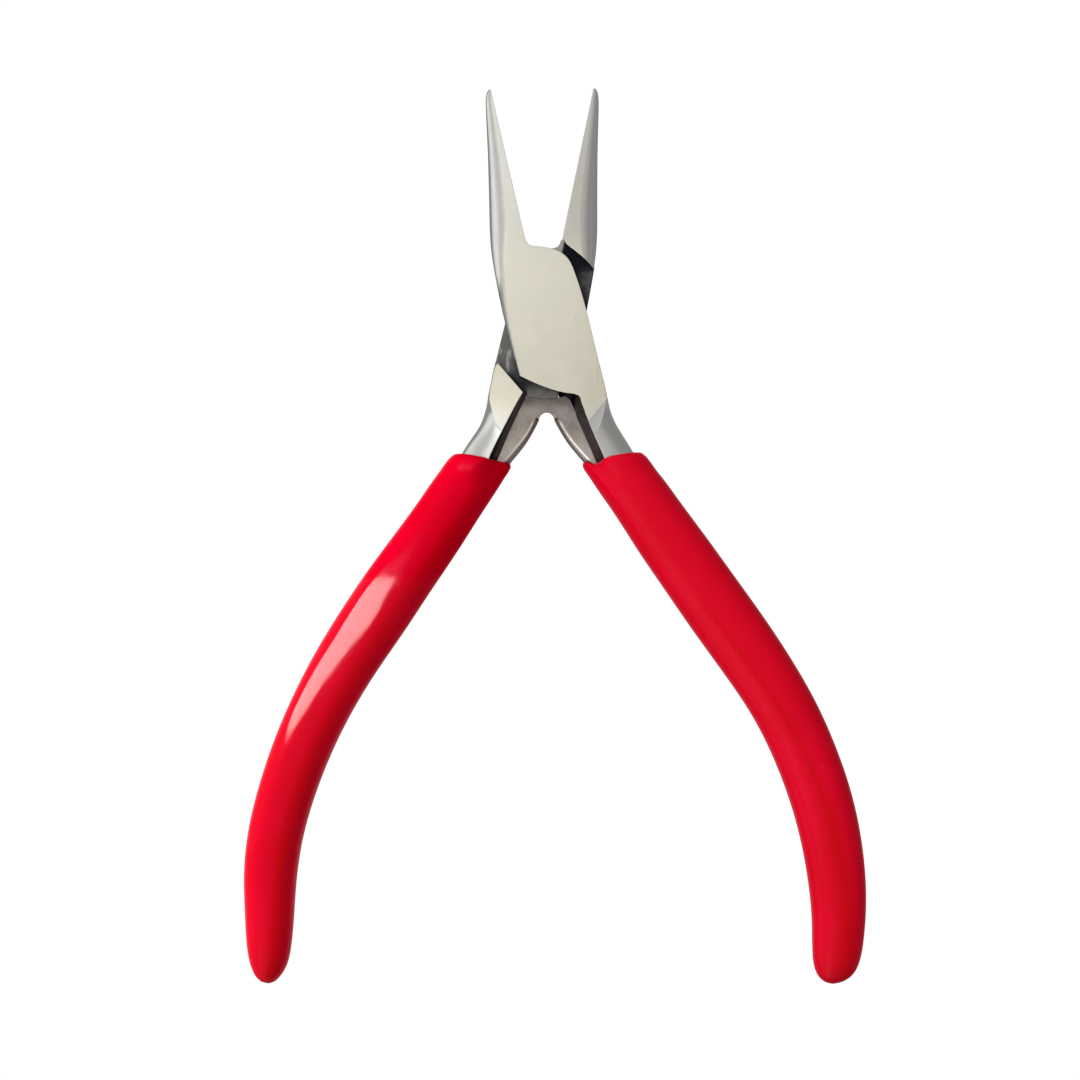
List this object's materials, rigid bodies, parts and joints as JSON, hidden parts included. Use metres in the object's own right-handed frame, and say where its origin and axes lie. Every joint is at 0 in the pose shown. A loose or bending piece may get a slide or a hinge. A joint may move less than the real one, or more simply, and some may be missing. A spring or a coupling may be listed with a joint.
{
  "type": "needle nose pliers",
  "caption": "Small box-joint needle nose pliers with smooth tapering jaws, a V-shaped return spring in the crotch and glossy dipped red handle grips.",
  "frame": {"origin": "on the pivot axis, at the back face of the box joint", "axes": "+Y from the pivot to the jaw tips, midway between the two halves; +Z along the pivot axis, out of the front face; +X to the right seen from the front"},
  "size_m": [0.0828, 0.1194, 0.009],
  "materials": {
    "ground_steel": "satin ground",
    "rivet_steel": "satin ground flush",
    "spring_steel": "matte rolled strip",
    "dipped_vinyl": "glossy dipped"
  },
  "bodies": {
    "box_side": {"box_half": "ground_steel", "right_grip": "dipped_vinyl", "pivot_rivet": "rivet_steel", "return_spring": "spring_steel"},
    "tongue_side": {"tongue_half": "ground_steel", "left_grip": "dipped_vinyl"}
  },
  "joints": [
    {"name": "jaw_pivot", "type": "hinge", "parent": "box_side", "child": "tongue_side", "pos_m": [0, 0, 0], "axis": [0, 0, 1], "range_deg": [-6, 24.5], "stiffness_Nm_per_rad": 0.8, "deforming": ["return_spring"]}
  ]
}
